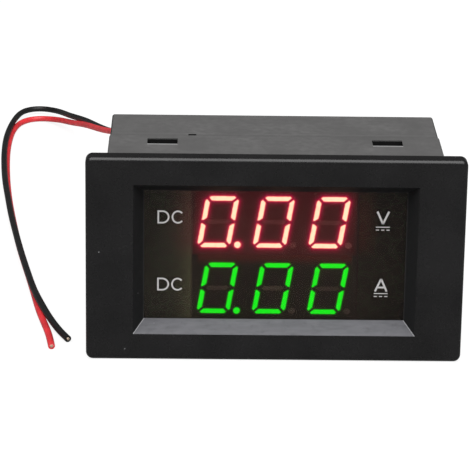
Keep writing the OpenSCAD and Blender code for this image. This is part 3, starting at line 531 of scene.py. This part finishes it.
looks = {
    "black_plastic": housing_plastic("black_plastic"),
    "smoked_window": smoked_window("smoked_window"),
    "display_grey": moulded("display_grey", (0.035, 0.033, 0.034), rough=0.5),
    "red_resin": lit_resin("red_resin", (1.0, 0.09, 0.05), strength=1.6),
    "green_resin": lit_resin("green_resin", (0.0, 1.0, 0.01), strength=1.2),
    "dull_resin": moulded("dull_resin", (0.44, 0.38, 0.36), rough=0.4, grain=0.3 * MM),
    "tinned_metal": metal("tinned_metal", (0.72, 0.71, 0.68), rough=0.34),
    "board_green": board("board_green"),
    "plated_screw": metal("plated_screw", (0.66, 0.66, 0.68), rough=0.28),
    "black_moulding": moulded("black_moulding", (0.018, 0.018, 0.018), rough=0.5),
    "gold_metal": metal("gold_metal", (0.83, 0.62, 0.27), rough=0.25),
    "chip_black": moulded("chip_black", (0.022, 0.022, 0.024), rough=0.55, grain=0.12 * MM),
    "capacitor_can": metal("capacitor_can", (0.72, 0.72, 0.74), stretch=(1, 0.1, 1)),
    "ceramic_tan": moulded("ceramic_tan", (0.38, 0.25, 0.13), rough=0.4),
    "shunt_alloy": metal("shunt_alloy", (0.56, 0.42, 0.25), rough=0.32, stretch=(0.1, 1, 1)),
    "terminal_green": moulded("terminal_green", (0.012, 0.17, 0.05), rough=0.42),
    "trimmer_blue": moulded("trimmer_blue", (0.02, 0.07, 0.36), rough=0.38),
    "brass_rotor": metal("brass_rotor", (0.75, 0.55, 0.24)),
    "plug_white": moulded("plug_white", (0.72, 0.70, 0.63), rough=0.42, mottle=0.06),
    "red_sheath": sheath("red_sheath", (0.52, 0.022, 0.028), soft=0.1),
    "black_sheath": sheath("black_sheath", (0.012, 0.012, 0.012), soft=0.0, shine=0.3),
}

for part in frame["record"]["subparts"]:
    slots = nodes[part["node"]].data.materials
    for i in range(len(slots)):
        slots[i] = looks[part["material_slot"]]


# ---------------------------------------------------------------- leads

LEAD_D = 1.5 * MM
LEAD_BEVEL = 5
LYING_Z = cad_low.z + LEAD_D / 2
PLUG_X, PLUG_Z, PLUG_PITCH = -24 * MM, 8.5 * MM, 2.5 * MM
LEAD_START_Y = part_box("lead_contacts")[1].y
PLUG_STRAIGHT = 7.2 * MM
STEPS_A_STRETCH = 6
STRANDS = 7
STRAND_R = 0.11 * MM
STRAND_RING_R = 0.23 * MM
STRAND_SIDES = 10
STRAND_IN, STRAND_OUT, STRAND_TIP = 0.6 * MM, 0.12 * MM, 0.16 * MM
COPPER = (0.80, 0.66, 0.52)

# Points past the plug: x, y and the height over the centre of a lead that lies on the table
RED_WAY = [
    (-0.0259, 0.05, 0.02935), (-0.0274, 0.061, 0.02785), (-0.0297, 0.0725, 0.02545),
    (-0.0323, 0.084, 0.02265), (-0.0351, 0.096, 0.01955), (-0.0379, 0.108, 0.01625),
    (-0.0406, 0.121, 0.01275), (-0.0434, 0.134, 0.00965), (-0.0462, 0.146, 0.00675),
    (-0.0488, 0.155, 0.00435), (-0.051, 0.162, 0.00265), (-0.053, 0.1675, 0.00145),
    (-0.0552, 0.1713, 0.00055), (-0.0582, 0.1738, 0.00005), (-0.0616, 0.1732, 0),
    (-0.064, 0.1702, 0), (-0.0652, 0.166, 0), (-0.0659, 0.16, 0), (-0.0661, 0.151, 0),
    (-0.0658, 0.14, 0), (-0.065, 0.1275, 0), (-0.064, 0.115, 0), (-0.0626, 0.1012, 0),
    (-0.0608, 0.087, 0), (-0.0589, 0.073, 0), (-0.0569, 0.0602, 0), (-0.0548, 0.0481, 0),
    (-0.0528, 0.0362, 0), (-0.0511, 0.0249, 0), (-0.0493, 0.0162, 0), (-0.0479, 0.0095, 0),
    (-0.047, 0.0025, 0),
]
BLACK_WAY = [
    (-0.0233, 0.052, 0.02945), (-0.0251, 0.0655, 0.02725), (-0.028, 0.079, 0.02395),
    (-0.0312, 0.092, 0.02015), (-0.0344, 0.104, 0.01695), (-0.0381, 0.116, 0.01385),
    (-0.0404, 0.127, 0.01135), (-0.0429, 0.138, 0.00905), (-0.0458, 0.149, 0.00705),
    (-0.0498, 0.1585, 0.00525), (-0.0514, 0.166, 0.00355), (-0.0528, 0.1716, 0.00235),
    (-0.0542, 0.176, 0.00145), (-0.0563, 0.1794, 0.0009), (-0.0593, 0.1812, 0.0007),
    (-0.0624, 0.1801, 0.00075), (-0.0643, 0.1769, 0.0009), (-0.0652, 0.1726, 0.00105),
    (-0.066, 0.167, 0.00115), (-0.0666, 0.159, 0.0012), (-0.06685, 0.15, 0.00125),
    (-0.0665, 0.1385, 0.0013), (-0.0656, 0.1257, 0.00135), (-0.0645, 0.1132, 0.00135),
    (-0.0629, 0.1005, 0.0014), (-0.0613, 0.0872, 0.0014), (-0.0593, 0.0737, 0.0014),
    (-0.0572, 0.06, 0.0014), (-0.0553, 0.0489, 0.0014), (-0.0536, 0.0391, 0.00145),
    (-0.0522, 0.0316, 0.00155), (-0.0505, 0.025, 0.0014), (-0.0489, 0.0195, 0.001),
    (-0.0472, 0.0148, 0.0005), (-0.0455, 0.0106, 0.00015), (-0.0437, 0.0068, 0),
]


def unit(way):
    return way / np.linalg.norm(way)


def lead_route(side, way):
    """The lead's points: its start on one side of the plug, a straight stretch, and its way."""
    start = np.array([PLUG_X + side * PLUG_PITCH / 2, LEAD_START_Y, PLUG_Z])
    rest = [np.array(point) + (0, 0, LYING_Z) for point in way]
    return [start, start + (0, PLUG_STRAIGHT, 0)] + rest


def smooth_way(route):
    """Points along the cubic B-spline of the route, as the CAD tube follows it."""
    first = 2 * route[0] - route[1]
    last = 2 * route[-1] - route[-2]
    points = [first] + route + [last]
    way = []
    for k in range(len(route) - 1):
        p0, p1, p2, p3 = points[k:k + 4]
        for step in range(STEPS_A_STRETCH):
            t = step / STEPS_A_STRETCH
            way.append(((1 - t) ** 3 * p0 + (3 * t ** 3 - 6 * t ** 2 + 4) * p1
                        + (-3 * t ** 3 + 3 * t ** 2 + 3 * t + 1) * p2 + t ** 3 * p3) / 6)
    way.append(route[-1])
    return way


def strands(name, end, before):
    """The cut conductor, which shows in the end of a lead: one strand with six round it."""
    along = unit(end - before)
    side = unit(np.cross(along, (0, 0, 1)))
    up = np.cross(side, along)

    def across(radius, part):
        turn = 2 * math.pi * part
        return radius * (math.cos(turn) * side + math.sin(turn) * up)

    points, faces = [], []
    for i in range(STRANDS):
        middle = end + across(STRAND_RING_R if i else 0.0, i / (STRANDS - 1))
        base, rim = len(points), STRAND_SIDES
        for out in (-STRAND_IN, STRAND_OUT):
            points += [middle + out * along + across(STRAND_R, j / rim) for j in range(rim)]
        points.append(middle + STRAND_TIP * along)
        for j in range(rim):
            k = (j + 1) % rim
            faces.append((base + j, base + k, base + rim + k, base + rim + j))
            faces.append((base + rim + j, base + rim + k, base + 2 * rim))
    return mesh_piece(name, points, faces, copper, smooth=True)


def lead(name, node, slot, side, way):
    """One lead: its sheath is a round curve, and its strands show in the far end."""
    route = smooth_way(lead_route(side, way))
    curve = bpy.data.curves.new(name, "CURVE")
    curve.dimensions = "3D"
    curve.bevel_depth = LEAD_D / 2
    curve.bevel_resolution = LEAD_BEVEL
    curve.use_fill_caps = True
    spline = curve.splines.new("POLY")
    spline.points.add(len(route) - 1)
    for point, place in zip(spline.points, route):
        point.co = (*place, 1.0)
    spline.use_smooth = True
    curve.materials.append(looks[slot])
    piece = bpy.data.objects.new(name, curve)
    bpy.context.scene.collection.objects.link(piece)
    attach(piece, BODY)
    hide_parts(node)
    core = strands(name + "_strands", route[-1], route[-2])


copper = metal("tinned_copper", COPPER)
lead("red_lead_sheath", "red_lead", "red_sheath", -1, RED_WAY)
lead("black_lead_sheath", "black_lead", "black_sheath", 1, BLACK_WAY)


# ---------------------------------------------------------------- lit digits

DIGITS = 3
DIGIT_PITCH = 11.65 * MM
DIGIT_SHIFT = -0.28 * MM
DIGIT_H, DIGIT_W = 11.3 * MM, 7.0 * MM
SLANT = math.tan(math.radians(9.5))
SEGMENT_T, SEGMENT_GAP, CORNER_CUT = 1.0 * MM, 0.4 * MM, 0.65 * MM
DOT_R, DOT_GAP, DOT_DROP = 0.72 * MM, 0.73 * MM, 0.12 * MM
DOT_SIDES = 28
FACE_LIFT, HALO_LIFT = 0.06 * MM, 0.03 * MM
RIM_OUT, RIM_IN = 0.06 * MM, 0.14 * MM
HALO_STEP = 0.25 * MM
HALO_MARGIN = 0.3 * MM
SPREAD_REACH = 2.4 * MM
EDGE_SHARE, EDGE_REACH = 0.35, 1.5 * MM


def lean(x, z):
    """A point of an upright digit, slanted and centred."""
    return (x - DIGIT_W / 2 + (z - DIGIT_H / 2) * SLANT, z - DIGIT_H / 2)


def nought():
    """The six lit segments of an upright nought, measured from its lower left corner."""
    wide, high, thick, gap, cut = DIGIT_W, DIGIT_H, SEGMENT_T, SEGMENT_GAP, CORNER_CUT
    middle = high / 2
    top_end = [(gap + thick, high - thick), (gap + cut / 2, high - cut / 2), (gap + cut, high)]
    top = top_end + [(wide - x, z) for x, z in reversed(top_end)]
    side = [(0, middle + gap), (0, high - gap - cut), (cut / 2, high - gap - cut / 2),
            (thick, high - thick - gap), (thick, middle + thick / 2 + gap),
            (thick / 3, middle + gap)]
    upper = [top, side, [(wide - x, z) for x, z in side]]
    return upper + [[(x, high - z) for x, z in outline] for outline in upper]


def decimal_point():
    """The round point at the lower right of a digit."""
    x, z = lean(DIGIT_W, DOT_R - DOT_DROP)
    turns = np.arange(DOT_SIDES) * 2 * math.pi / DOT_SIDES
    return (x + DOT_GAP + DOT_R, z) + DOT_R * np.stack([np.cos(turns), np.sin(turns)], 1)


def anticlockwise(shape):
    x, z = shape[:, 0], shape[:, 1]
    area = np.sum(x * np.roll(z, -1) - np.roll(x, -1) * z)
    return shape if area > 0 else shape[::-1]


def lit_outlines():
    """Outlines of a row's lit shapes, in the row's own plane: noughts, and a point after the first."""
    shapes = []
    for i in range(DIGITS):
        digit = [np.array([lean(x, z) for x, z in outline]) for outline in nought()]
        if i == 0:
            digit.append(decimal_point())
        middle = (i - (DIGITS - 1) / 2) * DIGIT_PITCH + DIGIT_SHIFT
        shapes += [anticlockwise(shape + (middle, 0)) for shape in digit]
    return shapes


def offset(shape, distance):
    """A convex anticlockwise outline with each of its sides moved out by distance."""
    normals = [unit(np.array([z, -x])) for x, z in np.roll(shape, -1, 0) - shape]
    return np.array([corner + distance * (before + after) / (1 + before @ after)
                     for corner, before, after in zip(shape, np.roll(normals, 1, 0), normals)])


def distance_to(shape, points):
    """How far points lie outside a convex outline, and 0 inside it."""
    best = np.full(len(points), np.inf)
    inside = np.ones(len(points), bool)
    for start, end in zip(shape, np.roll(shape, -1, 0)):
        side, reach = end - start, points - start
        along = np.clip(reach @ side / (side @ side), 0, 1)
        best = np.minimum(best, np.linalg.norm(reach - along[:, None] * side, axis=1))
        inside &= side[0] * reach[:, 1] - side[1] * reach[:, 0] >= 0
    return np.where(inside, 0.0, best)


def segment_faces(name, case, material):
    """A thin bright face on each lit shape, with its rim a little outside the resin's edge."""
    low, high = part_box(case)
    middle_z, y = (low.z + high.z) / 2, low.y - FACE_LIFT
    points, faces, core = [], [], []
    for shape in lit_outlines():
        count, base = len(shape), len(points)
        for outline, value in ((offset(shape, RIM_OUT), 0.0), (offset(shape, -RIM_IN), 1.0)):
            points += [(x, y, middle_z + z) for x, z in outline]
            core += [value] * count
        inner = base + count
        for i in range(count):
            j = (i + 1) % count
            faces.append((base + i, base + j, inner + j, inner + i))
        faces.append([inner + i for i in range(count)])
    mesh_piece(name, points, faces, material, {"core": core})


def glow(name, case, material):
    """A fine sheet over a display's face that carries the spread light."""
    low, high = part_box(case)
    middle_z, y = (low.z + high.z) / 2, low.y - HALO_LIFT
    half_x, half_z = (high.x - low.x) / 2 - HALO_MARGIN, (high.z - low.z) / 2
    columns, rows = int(2 * half_x / HALO_STEP), int(2 * half_z / HALO_STEP)
    x, z = np.meshgrid(np.linspace(-half_x, half_x, columns), np.linspace(-half_z, half_z, rows))
    flat = np.stack([x.ravel(), z.ravel()], 1)
    away = np.array([distance_to(shape, flat) for shape in lit_outlines()])
    edge = np.minimum(half_x - abs(flat[:, 0]), half_z - abs(flat[:, 1]))
    spread = np.exp(-away / SPREAD_REACH).sum(0) * np.clip(EDGE_SHARE + edge / EDGE_REACH, 0, 1)
    points = [(px, y, middle_z + pz) for px, pz in flat]
    corners = [row * columns + column for row in range(rows - 1) for column in range(columns - 1)]
    faces = [(i, i + 1, i + columns + 1, i + columns) for i in corners]
    mesh_piece(name, points, faces, material,
               {"distance": away.min(0) / MM, "spread": spread})


red_face = segment_face("red_face", rim=(5.2, 0.45, 0.7), core=(7.4, 6.0, 4.1))
green_face = segment_face("green_face", rim=(0.0, 1.8, 0.0), core=(0.0, 5.9, 0.05))
segment_faces("voltage_segment_faces", "voltage_display_case", red_face)
segment_faces("current_segment_faces", "current_display_case", green_face)
red_halo = halo("red_halo", near_colour=(3.3, 0.0, 0.46), far_colour=(0.180, 0.003, 0.016), reach=0.29)
green_halo = halo("green_halo", near_colour=(0.0, 0.16, 0.0), far_colour=(0.0030, 0.0026, 0.0016),
                  reach=0.3)
glow("voltage_glow", "voltage_display_case", red_halo)
glow("current_glow", "current_display_case", green_halo)


# ---------------------------------------------------------------- print on the window

# Places on the window in millimetres from its middle: x left and right, z low and high
PRINT_LIFT = 0.02 * MM
PRINT_GREY = (0.38, 0.375, 0.37)
TEXT_LETTERS = (("D", -24.6, -22.1), ("C", -21.65, -19.0))
TEXT_ROWS = ((6.87, 9.74), (-8.0, -5.14))
TEXT_STROKE = 0.34
UNIT_X = (21.03, 23.88)
UNIT_LETTERS = (("V", 7.0, 9.92, 0.42), ("A", -7.78, -4.8, 0.4))
RULE_X = (21.0, 23.9)
RULE_ROWS = ((6.5, 5.86), (-8.25, -8.9))
RULE_STROKE = 0.2
DASHES = 3
DASH_SHARE = 1 / 4.3
MITRE_LIMIT = 1.6
ARC_STEPS = 22
BOW_SHARE = 0.1
C_HALF_OPENING = 42  # degrees
BAR_HEIGHT_SHARE, BAR_INSET_SHARE = 0.3, 0.22


def ribbon(path, width, closed):
    """Corners and faces of a flat stroke of even width along a path, mitred where it turns."""
    path = np.array(path, float)
    count = len(path)
    ends = np.roll(path, -1, 0) if closed else path[1:]
    normals = [unit(np.array([start[1] - end[1], end[0] - start[0]])) for start, end in zip(path, ends)]
    left, right = [], []
    for i, point in enumerate(path):
        before = normals[i - 1] if i or closed else normals[i]
        after = normals[i] if i < len(normals) else before
        across = unit(before + after)
        reach = width / 2 / max(across @ before, 1 / MITRE_LIMIT)
        left.append(point + reach * across)
        right.append(point - reach * across)
    faces = []
    for i in range(len(normals)):
        j = (i + 1) % count
        faces.append((i, j, count + j, count + i))
    return left + right, faces


def arc(middle_x, middle_z, radius_x, radius_z, start, end):
    """Points of an elliptic arc from one angle to another, in degrees."""
    turns = [math.radians(start + (end - start) * i / ARC_STEPS) for i in range(ARC_STEPS + 1)]
    return [(middle_x + radius_x * math.cos(turn), middle_z + radius_z * math.sin(turn))
            for turn in turns]


def letter(kind, x0, x1, z0, z1, width):
    """The strokes of a letter that fills x0..x1 by z0..z1: a list of (path, width, closed)."""
    left, right, low, high = x0 + width / 2, x1 - width / 2, z0 + width / 2, z1 - width / 2
    middle_x, middle_z = (left + right) / 2, (low + high) / 2
    if kind == "D":
        bow_x = middle_x - BOW_SHARE * (right - left)
        bow = arc(bow_x, middle_z, right - bow_x, (high - low) / 2, 90, -90)
        return [([(left, low), (left, high)] + bow, width, True)]
    if kind == "C":
        ring = arc(middle_x, middle_z, (right - left) / 2, (high - low) / 2,
                   C_HALF_OPENING, 360 - C_HALF_OPENING)
        return [(ring, width, False)]
    if kind == "V":
        return [([(left, z1), (middle_x, low)], width, False),
                ([(middle_x, low), (right, z1)], width, False)]
    bar_z = z0 + BAR_HEIGHT_SHARE * (z1 - z0)
    inset = BAR_INSET_SHARE * (right - left)
    return [([(left, z0), (middle_x, high)], width, False),
            ([(middle_x, high), (right, z0)], width, False),
            ([(left + inset, bar_z), (right - inset, bar_z)], width, False)]


def rules(x0, x1, solid_z, dashed_z, width):
    """A line over three dashes, the sign for direct current."""
    dash = (x1 - x0) * DASH_SHARE
    step = (x1 - x0 - dash) / (DASHES - 1)
    starts = [x0 + i * step for i in range(DASHES)]
    lines = [[(x0, solid_z), (x1, solid_z)]]
    lines += [[(start, dashed_z), (start + dash, dashed_z)] for start in starts]
    return [(line, width, False) for line in lines]


def legends():
    """DC beside each row on the left, and V and A over the sign for direct current on the right."""
    strokes = []
    for z0, z1 in TEXT_ROWS:
        for kind, x0, x1 in TEXT_LETTERS:
            strokes += letter(kind, x0, x1, z0, z1, TEXT_STROKE)
    for kind, z0, z1, width in UNIT_LETTERS:
        strokes += letter(kind, *UNIT_X, z0, z1, width)
    for solid_z, dashed_z in RULE_ROWS:
        strokes += rules(*RULE_X, solid_z, dashed_z, RULE_STROKE)
    y = WINDOW_Y - PRINT_LIFT
    points, faces = [], []
    for path, width, closed in strokes:
        corners, quads = ribbon(path, width, closed)
        faces += [tuple(len(points) + i for i in quad) for quad in quads]
        points += [(x * MM, y, z * MM) for x, z in corners]
    mesh_piece("window_legends", points, faces, ink("print_grey", PRINT_GREY))


legends()


# ---------------------------------------------------------------- stage and light

FLOOR_HALF = 4.0
FLOOR_DROP = 0.02 * MM
FLOOR_GRAIN = 0.05
FLOOR_PALE, FLOOR_PALER = (0.80, 0.80, 0.80), (0.83, 0.83, 0.83)
FLOOR_SEEN, FLOOR_REFLECTED = 1.02, 0.22
FLOOR_EVENNESS = 0.85
SOFTBOX_AT = (0.0, -0.28, 0.78)
SOFTBOX_SIZE = (1.3, 0.75)
SOFTBOX_TILT = math.radians(20)
SOFTBOX_POWER = 16.0
ROOM_SEEN, ROOM_LIGHT, ROOM_REFLECTED = 1.0, 0.5, 0.05


def stage_floor():
    """A white floor: nearly even to the camera, with a trace of shadow, and dimmer in reflections."""
    s = Shader("floor_white")
    matt = s.diffuse(s.blend(s.vary(s.noise(FLOOR_GRAIN)), FLOOR_PALE, FLOOR_PALER))
    seen = s.mix(FLOOR_EVENNESS, matt, s.emission(strength=FLOOR_SEEN))
    other = s.for_ray("Is Glossy Ray", matt, s.emission(strength=FLOOR_REFLECTED))
    mesh = bpy.data.meshes.new("floor")
    half, z = FLOOR_HALF, cad_low.z - FLOOR_DROP
    corners = [(-half, -half, z), (half, -half, z), (half, half, z), (-half, half, z)]
    mesh.from_pydata(corners, [], [(0, 1, 2, 3)])
    mesh.materials.append(s.done(s.for_ray("Is Camera Ray", other, seen)))
    floor = bpy.data.objects.new("floor", mesh)
    bpy.context.scene.collection.objects.link(floor)


def world():
    """White to the camera, a softer white as light, and a dark room in reflections."""
    s = Shader("studio", bpy.data.worlds)
    seen, light, reflected = (
        s.add("ShaderNodeBackground", {"Color": WHITE, "Strength": strength})
        for strength in (ROOM_SEEN, ROOM_LIGHT, ROOM_REFLECTED))
    other = s.for_ray("Is Glossy Ray", light, reflected)
    bpy.context.scene.world = s.done(s.for_ray("Is Camera Ray", other, seen), "World")


def softbox():
    """One wide lamp above and a little in front of the meter."""
    light = bpy.data.lights.new("softbox", "AREA")
    light.shape = "RECTANGLE"
    light.size, light.size_y = SOFTBOX_SIZE
    light.energy = SOFTBOX_POWER
    lamp = bpy.data.objects.new("softbox", light)
    lamp.location = SOFTBOX_AT
    lamp.rotation_euler = (SOFTBOX_TILT, 0.0, 0.0)
    bpy.context.scene.collection.objects.link(lamp)


stage_floor()
world()
softbox()
bpy.context.scene.view_settings.view_transform = "Standard"
